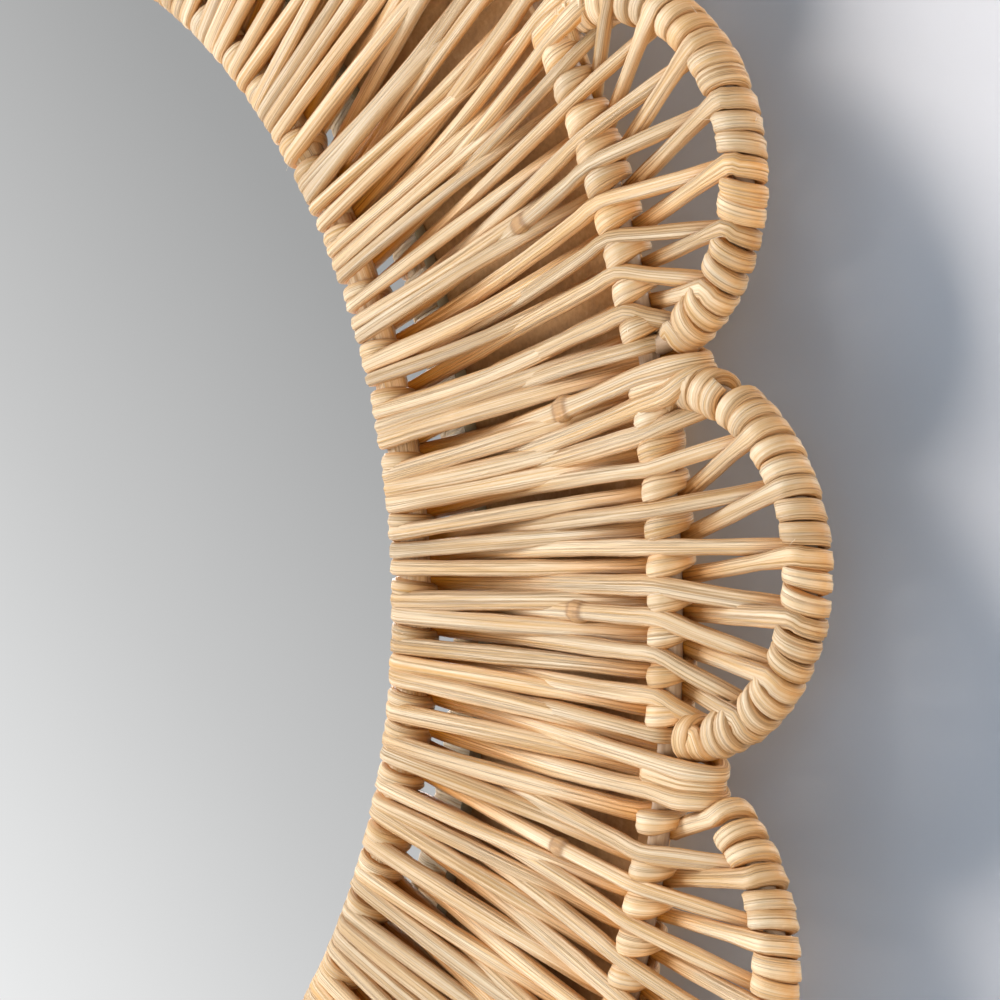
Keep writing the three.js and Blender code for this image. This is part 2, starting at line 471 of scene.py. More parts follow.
def strand_shape(rng, lengths, widths, pressed, knots):
    """The rings of a peeled strand: a flattened round with a few soft ridges that run along it."""
    turn = np.arange(STRAND_SIDES) / STRAND_SIDES * 2 * math.pi - QUARTER
    power = (2 / mix(STRAIGHT_SQUARENESS, WOUND_SQUARENESS, pressed))[:, None]
    across = np.sign(np.cos(turn)) * np.abs(np.cos(turn)) ** power
    upward = np.sign(np.sin(turn)) * np.abs(np.sin(turn)) ** power
    size = mix(RIDGE_SIZE, WOUND_RIDGE_SIZE, pressed)[:, None]
    ridges = 1.0
    for waves in RIDGE_WAVES:
        twist = rng.uniform(0, 2 * math.pi) + wander(rng, lengths, RIDGE_WAVE, RIDGE_TWIST)
        ridges = ridges + size * np.cos(waves * turn + twist[:, None])
    swell = (1 + wander(rng, lengths, SWELL_WAVE, SWELL_SIZE)) * (1 + KNOT_SWELL * knots)
    height = STRAND_THICKNESS / 2 * (1 + KNOT_SWELL * knots)
    return across * ridges * (widths * swell / 2)[:, None], upward * ridges * height[:, None]


def round_shape(radii, sides):
    """The rings of a round bar."""
    turn = np.arange(sides) / sides * 2 * math.pi - QUARTER
    return np.outer(radii, np.cos(turn)), np.outer(radii, np.sin(turn))


# The places of a bay's strands on the hoops and the rim

def hoop_angles(rng, wound):
    """Where a bay's strands cross the outer hoop, and then the first one of the next bay. Wound is how
    many of them go on to the scallop hoop."""
    main = [FIRST_STRAND + MAIN_STEP * number for number in range(MAIN_STRANDS)]
    next_first = FIRST_STRAND + BAY_ANGLE
    parts = VALLEY_STRANDS + 1
    valley = [mix(main[-1], next_first, (number + 1) / parts) for number in range(VALLEY_STRANDS)]
    shifted = [angle + rng.normal(0, HOOP_JITTER) for angle in main[1:]]
    return (main[:1] + shifted)[:wound] + valley + [next_first]


def arch_turns(bay):
    """Where a bay's main strands go under their scallop hoop, and then the hoop's upper end."""
    finish = SEEN_FINISHES.get(bay, ARCH_FINISH)
    evenly = [FIRST_ARCH_TURN + ARCH_STEP * number for number in range(MAIN_STRANDS - 1)]
    kept = [turn for turn in evenly if turn < finish - ARCH_STEP / 2]
    return [SEEN_STARTS.get(bay, ARCH_START)] + kept + [finish]


def rim_places(rng, strands):
    """Each strand's slot on the rim and its number of turns there, with the slots spread over the bay."""
    extra_turns = RIM_SLOTS - strands
    step = strands / extra_turns
    doubled = set()
    for number in range(extra_turns):
        doubled.add(int(step * (number + DOUBLED_FROM) + rng.uniform(0, step * DOUBLED_SPREAD)))
    places, slot = [], 0
    for number in range(strands):
        turns = 2 if number in doubled else 1
        places.append((slot, turns))
        slot += turns
    return places


def rim_angle(slot):
    return -BAY_ANGLE / 2 + RIM_SHIFT + (slot + 0.5) * RIM_SLOT


# The routes of a bay's strands

def span(strand, rng, start, end, width):
    """A straight run between two hoops, each end given as radius, angle and height."""
    sway = rng.normal(0, strand.sway)
    bow = rng.normal(0, SPAN_BOW)
    outward = end[0] > start[0]
    for share in SPAN_SHARES:
        rise = share ** CROSSING_POWER if outward else 1 - (1 - share) ** CROSSING_POWER
        bulge = math.sin(math.pi * share)
        distance = mix(start[0], end[0], share)
        angle = mix(start[1], end[1], share) + sway * bulge / distance
        height = mix(start[2], end[2], rise) + bow * bulge
        strand.to(polar(distance, angle, height), FRONT, width)


def go_out(strand, rng, rim_start, hoop_angle, width):
    """From the back of the rim to the front of the outer hoop."""
    span(strand, rng, (RIM_RADIUS, rim_start, -LIFT), (OUTER_HOOP_RADIUS, hoop_angle, LIFT), width)
    strand.to(polar(OUTER_HOOP_RADIUS, hoop_angle, LIFT), FRONT, width, FINE_STEPS)


def go_under_arch(strand, hoop_angle, turn, width):
    """From the front of the outer hoop to the back of a scallop hoop."""
    start = polar(OUTER_HOOP_RADIUS, hoop_angle, LIFT)
    end = arch_point(LIFT, -QUARTER, turn)
    for share in ARCH_OUT_SHARES:
        strand.to(mix(start, end, share) + FRONT * HOOP_CROWN * (1 - share), FRONT, width, FINE_STEPS)
    strand.to(end, FRONT, width)


def come_back(strand, rng, hoop_angle, place, width):
    """From the back of the outer hoop over the front of the rim, and round it to its back."""
    slot, turns = place
    first = rim_angle(slot + rng.normal(0, RIM_JITTER))
    last = first + (RIM_TURN_SLOTS * turns - RIM_TUCKED_SLOTS) * RIM_SLOT
    span(strand, rng, (OUTER_HOOP_RADIUS, hoop_angle, -LIFT), (RIM_RADIUS, first, LIFT), width)
    finish = 3 * QUARTER + (turns - 1) * 2 * math.pi
    widths = (width, width, width)
    strand.round_ring(RIM_RADIUS, RIM_WRAP_START, finish, first, last, widths, RIM_PRESS)
    return last


def coil_hoop(strand, middle, width):
    """One turn round the outer hoop, from its back and round its inner side."""
    strand.to(ring_point(OUTER_HOOP_RADIUS, LIFT, 3 * QUARTER, middle - COIL_TILT), FRONT, width)
    lower = middle - COIL_FRONT_TILT * COIL_TILT
    upper = middle + COIL_FRONT_TILT * COIL_TILT
    widths = (COIL_INNER_WIDTH, COIL_WIDTH, COIL_OUTER_WIDTH)
    strand.round_ring(OUTER_HOOP_RADIUS, COIL_FROM, COIL_TO, lower, upper, widths, COIL_PRESS)
    strand.to(ring_point(OUTER_HOOP_RADIUS, LIFT, -QUARTER, middle + COIL_TILT), FRONT, width)


def coil_valley(strand, angle):
    """The inner side of the outer hoop, between two passes through a notch."""
    widths = (COIL_INNER_WIDTH, VALLEY_COIL_WIDTH, VALLEY_COIL_WIDTH)
    strand.round_ring(
        OUTER_HOOP_RADIUS, VALLEY_COIL_FROM, VALLEY_COIL_TO, angle, angle, widths, VALLEY_PRESS
    )


def round_valley(strand, hoop_angle, middle, coiled, below, width):
    """Over the outer hoop and the ends of two scallop hoops, and round behind them. Below is how far
    under the valley's highest strand this one lies in the notch."""
    passes = zip((hoop_angle, middle), COILED_RISES) if coiled else [(hoop_angle, SINGLE_RISE)]
    for number, (angle, rise) in enumerate(passes):
        if number:
            coil_valley(strand, angle)
        front_width = VALLEY_COIL_WIDTH if number else VALLEY_WIDTH
        notch = BAY_ANGLE / 2 - NOTCH_DROP - below / (1 + number)
        for quarters in NOTCH_QUARTERS:
            turn = quarters * QUARTER
            distance = NOTCH_MIDDLE + (NOTCH_REACH + rise) * math.cos(turn)
            toward = mix(angle if quarters > 0 else middle, notch, math.cos(turn))
            strand.to(
                polar(distance, toward, (LIFT + rise) * math.sin(turn)),
                ring_outward(turn, toward),
                mix(front_width, NOTCH_WIDTH, math.cos(turn)),
                FINE_STEPS,
                VALLEY_PRESS,
            )
        strand.to(polar(OUTER_HOOP_RADIUS, middle, -LIFT), FRONT, width)


def arch_rounds(from_turn, to_turn):
    """How often a strand goes fully round its arch, and how far it moves on in each round."""
    rounds = max(1, round((to_turn - from_turn) / (ARCH_STEP / TURNS_PER_STRAND))) - 1
    return rounds, (to_turn - from_turn) / (rounds + 1)


def wind_arch(strand, rng, from_turn, to_turn, hoop_angle, width):
    """Winds upwards round a scallop hoop, and comes off its front to the back of the outer hoop."""
    rounds, pitch = arch_rounds(from_turn, to_turn)
    finish = QUARTER + rounds * 2 * math.pi
    strand.round_arch(rng, -QUARTER, finish, from_turn + pitch / 4, to_turn - pitch / 4)
    start = strand.points[-1]
    end = ring_point(OUTER_HOOP_RADIUS, LIFT, 3 * QUARTER, hoop_angle - COIL_TILT)
    for share in ARCH_BACK_SHARES:
        strand.to(mix(start, end, share), FRONT, width, FINE_STEPS)
    strand.to(end, FRONT, width)


def wind_to_cut(strand, rng, from_turn, to_turn):
    """Winds a scallop hoop with a strand that ends out of sight, and returns the cut end that follows it."""
    rounds, pitch = arch_rounds(from_turn, to_turn)
    hidden = -QUARTER + rounds * 2 * math.pi
    strand.round_arch(rng, -QUARTER, hidden, from_turn + pitch / 4, to_turn - 3 * pitch / 4)
    cut = Strand(strand.tone)
    for quarters in CUT_QUARTERS:
        around = quarters * QUARTER
        turn = to_turn - pitch / 4 + pitch * (quarters - CUT_QUARTERS[0]) / 4
        point = arch_point(LIFT + CUT_LIFT * max(0.0, 1 - quarters / CUT_DOWN_QUARTERS), around, turn)
        cut.to(point, ring_outward(around, turn), WOUND_WIDTH, FINE_STEPS, CUT_PRESS)
    return cut


def strand_width(rng, bay):
    return SEEN_WIDTHS.get(bay, 1.0) * STRAND_WIDTH * rng.uniform(1 - WIDTH_SPREAD, 1 + WIDTH_SPREAD)


def bay_strands(rng, bay):
    """The strands of one bay: those of the weave, and those wound on the scallop hoop."""
    turns = arch_turns(bay)
    wound_count = len(turns) - 1
    angles = hoop_angles(rng, wound_count)
    last = len(angles) - 2
    spread = SEEN_SPREADS.get(bay, rng.uniform(*NOTCH_SPREADS))
    places = rim_places(rng, last + 1)
    weave, winding = [], []
    rim_start = rim_angle(-1)
    sway = SEEN_SWAYS.get(bay, SPAN_SWAY)
    strand = Strand(rng.random(), sway)
    width = strand_width(rng, bay)
    strand.to(ring_point(RIM_RADIUS, LIFT, 3 * QUARTER, rim_start), FRONT, width)
    for number in range(last + 1):
        go_out(strand, rng, rim_start, angles[number], width)
        middle = mix(angles[number], angles[number + 1], 0.5)
        if number < wound_count:
            go_under_arch(strand, angles[number], turns[number], width)
            weave.append(strand)
            width = strand_width(rng, bay)
            wound = Strand(rng.random())
            winding.append(wound)
            if (bay, number) == (CUT_BAY, CUT_STRAND):
                winding.append(wind_to_cut(wound, rng, turns[number], turns[number + 1]))
            else:
                wind_arch(wound, rng, turns[number], turns[number + 1], middle, width)
            strand = Strand(wound.tone, sway)
            coil_hoop(strand, middle, width)
        else:
            below = spread * (angles[last] - angles[number])
            round_valley(strand, angles[number], middle, number == wound_count, below, width)
        rim_start = come_back(strand, rng, middle, places[number], width)
    weave.append(strand)
    return weave, winding


# Knots and loose fibres

def knot_spots(rng, bay):
    """Where a bay has its knots: as the photograph shows them, or else anywhere on the weave."""
    spots = []
    for distance, degrees in SEEN_KNOTS:
        angle = math.radians((degrees - bay * 360 / SCALLOPS + 180) % 360 - 180)
        if abs(angle) < BAY_ANGLE / 2:
            spots.append(polar(distance * MM, angle, LIFT))
    if not spots:
        for _ in range(rng.integers(1, MOST_KNOTS + 1)):
            angle = rng.uniform(-BAY_ANGLE / 2, BAY_ANGLE / 2)
            spots.append(polar(rng.uniform(KNOT_INNER, KNOT_OUTER), angle, LIFT))
    return spots


def knots_on(curves, spots):
    """For each curve the lengths along it where it has a knot, the one in front being chosen."""
    knots = [[] for _ in curves]
    for spot in spots:
        costs = []
        for curve in curves:
            apart = (curve[0] - spot) * (1, KNOT_DEPTH_COST, 1)
            costs.append(np.linalg.norm(apart, axis=1))
        nearest = min(range(len(curves)), key=lambda number: costs[number].min())
        lengths = run_lengths(curves[nearest][0])
        knots[nearest].append(lengths[costs[nearest].argmin()])
    return knots


def refined(curve, knots):
    """A curve with more samples about its knots."""
    lengths = run_lengths(curve[0])
    extra = [knot + KNOT_REACH * step for knot in knots for step in KNOT_STEPS]
    inside = [length for length in extra if lengths[0] < length < lengths[-1]]
    wanted = np.union1d(lengths, inside)
    resampled = []
    for values in curve:
        columns = values if values.ndim == 2 else values[:, None]
        moved = np.column_stack([np.interp(wanted, lengths, column) for column in columns.T])
        resampled.append(moved if values.ndim == 2 else moved[:, 0])
    return resampled


def add_strands(bundle, rng, strands, spots, hair_material):
    """Sweeps the strands, with knots at the spots, and adds their loose fibres."""
    curves = [strand.sampled() for strand in strands]
    for strand, curve, knots in zip(strands, curves, knots_on(curves, spots)):
        places, facing, widths, pressed = refined(curve, knots)
        lengths = run_lengths(places)
        swelling = np.zeros(len(lengths))
        for knot in knots:
            swelling = np.maximum(swelling, np.exp(-((lengths - knot) / KNOT_REACH) ** KNOT_SHARPNESS))
        shape = strand_shape(rng, lengths, widths, pressed, swelling)
        bundle.sweep(places, facing, shape, strand.tone, swelling)
    add_hairs(bundle, rng, curves, hair_material)


def add_hairs(bundle, rng, curves, material):
    """Loose fibres that stand off the strands."""
    shares = np.linspace(0, 1, HAIR_ROWS)
    for _ in range(HAIRS):
        places = curves[rng.integers(len(curves))][0]
        row = rng.integers(1, len(places) - 1)
        along = places[row + 1] - places[row]
        along /= np.linalg.norm(along)
        length = rng.uniform(*HAIR_LENGTHS)
        lean = FRONT * rng.uniform(*HAIR_FORWARD) + rng.uniform(-HAIR_ASIDE, HAIR_ASIDE, 3)
        curl = rng.uniform(-HAIR_CURL, HAIR_CURL, 3)
        route = places[row] + length * (np.outer(shares, along + lean) + np.outer(shares ** 2, curl))
        facing = np.tile(np.cross(along, rng.normal(0, 1, 3)), (HAIR_ROWS, 1))
        shape = round_shape(HAIR_RADIUS * (HAIR_ROOT - shares), HAIR_SIDES)
        bundle.sweep(route, facing, shape, HAIR_TONE, material=material)


# Rods, rim and discs

def add_underlayer(bundle, tone):
    """The first layer of winding inside a bay's length of rim."""
    angles = np.linspace(-BAY_ANGLE / 2, BAY_ANGLE / 2, UNDERLAYER_ROWS)
    places = np.array([polar(RIM_RADIUS, angle, 0.0) for angle in angles])
    facing = np.tile(FRONT, (UNDERLAYER_ROWS, 1))
    radii = np.full(UNDERLAYER_ROWS, RIM_UNDERLAYER)
    bundle.sweep(places, facing, round_shape(radii, UNDERLAYER_SIDES), tone)


def add_arch_rod(bundle, tone, material):
    """The bent rod of a scallop, with rounded ends."""
    turns = np.linspace(-ARCH_ROD_END, ARCH_ROD_END, ARCH_ROD_ROWS)
    places = np.array([arch_point(0.0, 0.0, turn) for turn in turns])
    facing = np.tile(FRONT, (ARCH_ROD_ROWS, 1))
    lengths = run_lengths(places)
    from_end = np.minimum(lengths, lengths[-1] - lengths)
    inside = np.clip(1 - from_end / ROD_RADIUS, 0, 1)
    radii = ROD_RADIUS * np.sqrt(np.maximum(1 - inside ** 2, ROD_TIP))
    bundle.sweep(places, facing, round_shape(radii, ROD_SIDES), tone, material=material)


def turned_mesh(name, profile, segments, closed):
    """A profile of distances from the axis and depths from the wall, turned about the mirror's axis."""
    vertices, faces, corners, lengths = [], [], [], [0.0]
    for first, second in zip(profile, profile[1:] + profile[:1]):
        lengths.append(lengths[-1] + math.dist(first, second))
    for segment in range(segments):
        angle = segment / segments * 2 * math.pi
        for distance, depth in profile:
            vertices.append((distance * math.cos(angle), -depth, distance * math.sin(angle)))
    rows = len(profile)
    reach = max(distance for distance, _ in profile) * 2 * math.pi / segments
    for segment in range(segments):
        near = segment * rows
        far = (segment + 1) % segments * rows
        for row in range(rows if closed else rows - 1):
            other = (row + 1) % rows
            faces.append((near + row, far + row, far + other, near + other))
            here, there = segment * reach, (segment + 1) * reach
            low, high = lengths[row], lengths[row + 1]
            corners.extend((here, low, there, low, there, high, here, high))
    if not closed:
        faces.append(tuple(segment * rows for segment in reversed(range(segments))))
        faces.append(tuple(segment * rows + rows - 1 for segment in range(segments)))
        corners.extend((0.0, 0.0) * 2 * segments)
    mesh = bpy.data.meshes.new(name)
    mesh.from_pydata(vertices, [], faces)
    mesh.uv_layers.new(name=STRAND_MAP).data.foreach_set("uv", corners)
    mesh.shade_smooth()
    return mesh


# Materials, with the limits between which a noise counts as none and as full

NOISE_LIMITS = (0.3, 0.7)


class Nodes:
    """The nodes of a new material or world, with short ways to add and link them."""

    def __init__(self, name, kept=bpy.data.materials, shader="Principled BSDF"):
        self.owner = kept.new(name)
        self.owner.use_nodes = True
        self.tree = self.owner.node_tree
        self.shader = self.tree.nodes[shader]

    def put(self, socket, value):
        if isinstance(value, bpy.types.NodeSocket):
            self.tree.links.new(value, socket)
        else:
            socket.default_value = value

    def add(self, kind, sockets=(), **settings):
        node = self.tree.nodes.new(kind)
        for setting, value in settings.items():
            setattr(node, setting, value)
        for name, value in dict(sockets).items():
            self.put(node.inputs[name], value)
        return node

    def strand_place(self):
        """The length along a strand and the share round it."""
        return self.add("ShaderNodeUVMap", uv_map=STRAND_MAP).outputs[0]

    def attribute(self, label):
        return self.add("ShaderNodeAttribute", attribute_name=label).outputs["Fac"]

    def noise(self, place, scale, detail=3.0, roughness=0.55):
        scaled = self.add("ShaderNodeMapping", {"Vector": place, "Scale": scale}).outputs[0]
        sockets = {"Vector": scaled, "Scale": 1.0, "Detail": detail, "Roughness": roughness}
        return self.add("ShaderNodeTexNoise", sockets).outputs["Fac"]

    def strand_noise(self, place, grain, **settings):
        """Noise on a strand. Grain is how fine it is along the strand and round it."""
        return self.noise(place, (*grain, 1.0), **settings)

    def even_noise(self, grain):
        """Noise that is as fine in all directions."""
        return self.noise(self.add("ShaderNodeTexCoord").outputs["Object"], (grain, grain, grain))

    def between(self, value, limits=NOISE_LIMITS, results=(0.0, 1.0)):
        """A value between two limits, brought between two results."""
        sockets = {"Value": value, "From Min": limits[0], "From Max": limits[1]}
        sockets |= {"To Min": results[0], "To Max": results[1]}
        return self.add("ShaderNodeMapRange", sockets).outputs[0]

    def blend(self, share, first, second, kind="MIX"):
        node = self.add("ShaderNodeMix", data_type="RGBA", blend_type=kind)
        for socket, value in zip((node.inputs[0], node.inputs[6], node.inputs[7]), (share, first, second)):
            self.put(socket, value)
        return node.outputs[2]

    def maths(self, kind, first, second):
        return self.add("ShaderNodeMath", {0: first, 1: second}, operation=kind).outputs[0]

    def bump(self, height, strength, distance):
        sockets = {"Height": height, "Strength": strength, "Distance": distance}
        self.put(self.shader.inputs["Normal"], self.add("ShaderNodeBump", sockets).outputs[0])

    def finish(self, colour, roughness):
        self.put(self.shader.inputs["Base Color"], colour)
        self.put(self.shader.inputs["Roughness"], roughness)
        return self.owner


# Rattan's colours, the warm tint of its painted shade, its grain along a strand and round it, and how
# strongly each kind of grain shows
RATTAN_LIGHT = (0.85, 0.73, 0.555, 1)
RATTAN_DEEP = (0.58, 0.32, 0.08, 1)
RATTAN_PAINTED_SHADE = (1.0, 0.55, 0.08, 1)
RATTAN_LINE = (0.32, 0.155, 0.05, 1)
RATTAN_TAN = (0.62, 0.355, 0.125, 1)
TONE_APART = 57.0
TONE_SHADES = (0.84, 1.1)
FIBRE_GRAIN = (16.0, 36.0)
FIBRE_LIMITS = (0.34, 0.68)
FIBRE_SHARE = 0.65
BAND_GRAIN = (17.0, 4.0)
BAND_LIMITS = (0.35, 0.7)
BAND_SHARE = 0.35
TAN_LIMITS = (0.45, 0.75)
TAN_SHARE = 0.35
LINE_GRAIN = (15.0, 46.0)
LINE_LIMITS = (0.54, 0.66)
LINE_SHARE = 0.48
LINE_RELIEF = 0.5
PAINTED_SHADE_LIMITS = (0.1, 0.8)
RATTAN_ROUGHNESS = (0.38, 0.56)


def rattan_material():
    """Peeled rattan core: fine fibres along the strand, each strand with its own tone, with painted shade on
    its sides and covered faces.
    """
    nodes = Nodes("rattan")
    tone = nodes.attribute("tone")
    shift = nodes.maths("MULTIPLY", tone, TONE_APART)
    apart = nodes.add("ShaderNodeCombineXYZ", {0: tone, 1: tone, 2: shift}).outputs[0]
    sockets = {0: nodes.strand_place(), 1: apart}
    place = nodes.add("ShaderNodeVectorMath", sockets, operation="ADD").outputs[0]
    fibres = nodes.strand_noise(place, FIBRE_GRAIN, detail=4.0, roughness=0.6)
    bands = nodes.strand_noise(place, BAND_GRAIN, detail=2.0)
    lines = nodes.between(nodes.strand_noise(place, LINE_GRAIN, detail=2.0), LINE_LIMITS)
    streaks = nodes.between(fibres, FIBRE_LIMITS, (0.0, FIBRE_SHARE))
    depth = nodes.maths("ADD", streaks, nodes.between(bands, BAND_LIMITS, (0.0, BAND_SHARE)))
    colour = nodes.blend(depth, RATTAN_LIGHT, RATTAN_DEEP)
    colour = nodes.blend(nodes.maths("MULTIPLY", lines, LINE_SHARE), colour, RATTAN_LINE)
    colour = nodes.blend(nodes.between(bands, TAN_LIMITS, (0.0, TAN_SHARE)), colour, RATTAN_TAN)
    shade = nodes.between(tone, (0.0, 1.0), TONE_SHADES)
    grey = nodes.add("ShaderNodeCombineColor", {0: shade, 1: shade, 2: shade}).outputs[0]
    colour = nodes.blend(1.0, colour, grey, "MULTIPLY")
    # Painted shade: the strands' sides and faces toward the other layer are tinted a warm golden brown, as
    # they look in shade
    painted_shade = nodes.between(nodes.attribute("painted_shade"), PAINTED_SHADE_LIMITS)
    colour = nodes.blend(painted_shade, colour, RATTAN_PAINTED_SHADE, "MULTIPLY")
    colour = knot_colour(nodes, colour, place)
    relief = nodes.maths("SUBTRACT", fibres, nodes.maths("MULTIPLY", lines, LINE_RELIEF))
    nodes.bump(relief, strength=0.85, distance=0.5 * MM)
    return nodes.finish(colour, nodes.between(fibres, results=RATTAN_ROUGHNESS))


# The knots' colours and grain. A knot's edge is where its share times its rest is largest, at a quarter.
KNOT_BROWN = (0.48, 0.25, 0.08, 1)
KNOT_EDGE = (0.22, 0.095, 0.025, 1)
KNOT_GRAIN = (300.0, 9.0)
KNOT_UNEVEN = 0.25
KNOT_LIMITS = (0.05, 0.7)
KNOT_SHARE = 0.8
KNOT_EDGE_LIMITS = (0.0, 0.25)
KNOT_EDGE_SHARE = 0.5


def knot_colour(nodes, colour, place):
    """A strand's colour with its knots browned, darkest along their edges."""
    grain = nodes.strand_noise(place, KNOT_GRAIN)
    uneven = nodes.between(grain, results=(-KNOT_UNEVEN, KNOT_UNEVEN))
    knot = nodes.maths("MULTIPLY", nodes.attribute("knot"), nodes.maths("ADD", 1.0, uneven))
    colour = nodes.blend(nodes.between(knot, KNOT_LIMITS, (0.0, KNOT_SHARE)), colour, KNOT_BROWN)
    beside = nodes.maths("MULTIPLY", knot, nodes.maths("SUBTRACT", 1.0, knot))
    edge = nodes.between(beside, KNOT_EDGE_LIMITS, (0.0, KNOT_EDGE_SHARE))
    return nodes.blend(edge, colour, KNOT_EDGE)


LOOSE_PALE = (0.92, 0.84, 0.70, 1)
LOOSE_DEEP = (0.80, 0.68, 0.50, 1)
LOOSE_GRAIN = (400.0, 3.0)


def fibre_material():
    """The loose pale fibres that stand off the strands."""
    nodes = Nodes("loose_fibre")
    grain = nodes.strand_noise(nodes.strand_place(), LOOSE_GRAIN)
    colour = nodes.blend(grain, LOOSE_PALE, LOOSE_DEEP)
    nodes.bump(grain, strength=0.2, distance=0.05 * MM)
    return nodes.finish(colour, roughness=0.6)


ROD_LIGHT = (0.50, 0.36, 0.24, 1)
ROD_DEEP = (0.36, 0.24, 0.15, 1)
ROD_GRAIN = (40.0, 1600.0)
ROD_ROUGHNESS = (0.4, 0.55)


def rod_material():
    """A pale bare rod with faint grain along it."""
    nodes = Nodes("rod")
    grain = nodes.strand_noise(nodes.strand_place(), ROD_GRAIN)
    colour = nodes.blend(nodes.between(grain), ROD_LIGHT, ROD_DEEP)
    nodes.bump(grain, strength=0.3, distance=0.2 * MM)
    return nodes.finish(colour, nodes.between(grain, results=ROD_ROUGHNESS))


# The board's colours, and the grain of its speckle, patches and flecks. Pale flecks are where the noise
# is low, so their limits run downwards.
BOARD_LIGHT = (0.68, 0.40, 0.18, 1)
BOARD_DEEP = (0.55, 0.30, 0.12, 1)
BOARD_PATCH = (0.50, 0.29, 0.14, 1)
BOARD_DARK_FLECK = (0.36, 0.20, 0.09, 1)
BOARD_PALE_FLECK = (0.80, 0.54, 0.30, 1)
SPECKLE_GRAIN = 900
PATCH_GRAIN = 30
PATCH_LIMITS = (0.35, 0.65)
PATCH_SHARE = 0.5
FLECK_GRAIN = 260
DARK_FLECK_LIMITS = (0.55, 0.72)
DARK_FLECK_SHARE = 0.6
PALE_FLECK_LIMITS = (0.42, 0.28)
PALE_FLECK_SHARE = 0.5
BOARD_ROUGHNESS = (0.75, 0.9)


def board_material():
    """Bare fibreboard, speckled with short fibres."""
    nodes = Nodes("fibreboard")
    speckle = nodes.even_noise(SPECKLE_GRAIN)
    patches = nodes.even_noise(PATCH_GRAIN)
    flecks = nodes.even_noise(FLECK_GRAIN)
    colour = nodes.blend(nodes.between(speckle), BOARD_LIGHT, BOARD_DEEP)
    colour = nodes.blend(nodes.between(patches, PATCH_LIMITS, (0.0, PATCH_SHARE)), colour, BOARD_PATCH)
    dark = nodes.between(flecks, DARK_FLECK_LIMITS, (0.0, DARK_FLECK_SHARE))
    colour = nodes.blend(dark, colour, BOARD_DARK_FLECK)
    pale = nodes.between(flecks, PALE_FLECK_LIMITS, (0.0, PALE_FLECK_SHARE))
    colour = nodes.blend(pale, colour, BOARD_PALE_FLECK)
    nodes.bump(speckle, strength=0.4, distance=0.2 * MM)
    return nodes.finish(colour, nodes.between(speckle, results=BOARD_ROUGHNESS))


SILVER_BRIGHT = (0.93, 0.935, 0.935, 1)
SILVER_DIM = (0.90, 0.91, 0.915, 1)
HAZE_GRAIN = 9
HAZE_LIMITS = (0.2, 0.8)
SILVER_ROUGHNESS = (0.012, 0.022)


def mirror_material():
    """Silvered glass, with the faintest unevenness in its polish."""
    nodes = Nodes("silvered_glass")
    haze = nodes.even_noise(HAZE_GRAIN)
    colour = nodes.blend(haze, SILVER_BRIGHT, SILVER_DIM)
    nodes.put(nodes.shader.inputs["Metallic"], 1.0)
    return nodes.finish(colour, nodes.between(haze, HAZE_LIMITS, SILVER_ROUGHNESS))


# The glass edge's colours: its grain, with a warm tan that paints in a reflection of the rattan round it
EDGE_REFLECTION_PALE = (0.42, 0.37, 0.25, 1)
EDGE_REFLECTION_DEEP = (0.33, 0.29, 0.19, 1)
EDGE_GRAIN = 1200
EDGE_ROUGHNESS = (0.35, 0.55)


def edge_reflection_material():
    """The ground edge of the glass, tinted warm tan as a painted reflection of the rattan round it."""
    nodes = Nodes("ground_edge_painted_reflection")
    grain = nodes.even_noise(EDGE_GRAIN)
    colour = nodes.blend(grain, EDGE_REFLECTION_PALE, EDGE_REFLECTION_DEEP)
    nodes.bump(grain, strength=0.3, distance=0.1 * MM)
    return nodes.finish(colour, nodes.between(grain, results=EDGE_ROUGHNESS))


# Pieces

def add_piece(name, mesh, materials, node):
    """A piece of the mirror, in place of one of the solids."""
    piece = bpy.data.objects.new(name, mesh)
    bpy.context.scene.collection.objects.link(piece)
    for material in materials:
        mesh.materials.append(material)
    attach(piece, "root")
    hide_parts(node)


def build_weaving(rattan, rod, fibre):
    """The weave and the wound scallop hoop of each bay."""
    for bay in range(SCALLOPS):
        rng = np.random.default_rng(RANDOM_SEED + bay)
        weave, winding = bay_strands(rng, bay)
        number = f"{bay + 1:02d}"
        turn = bay * BAY_ANGLE
        woven = Bundle()
        add_underlayer(woven, rng.random())
        add_strands(woven, rng, weave, knot_spots(rng, bay), hair_material=1)
        name = f"weave_{number}_strands"
        add_piece(name, woven.mesh(name, turn), [rattan, fibre], f"weave_{number}")
        wound = Bundle()
        add_arch_rod(wound, rng.random(), material=1)
        add_strands(wound, rng, winding, [], hair_material=2)
        name = f"scallop_{number}_winding"
        add_piece(name, wound.mesh(name, turn), [rattan, rod, fibre], f"scallop_hoop_{number}")


def build_outer_hoop(rod):
    turns = [side / ROD_SIDES * 2 * math.pi for side in range(ROD_SIDES)]
    section = [
        (OUTER_HOOP_RADIUS + ROD_RADIUS * math.cos(turn), HOOP_PLANE + ROD_RADIUS * math.sin(turn))
        for turn in turns
    ]
    hoop = turned_mesh("outer_hoop_rod", section, HOOP_SEGMENTS, closed=True)
    add_piece("outer_hoop_rod", hoop, [rod], "outer_hoop")


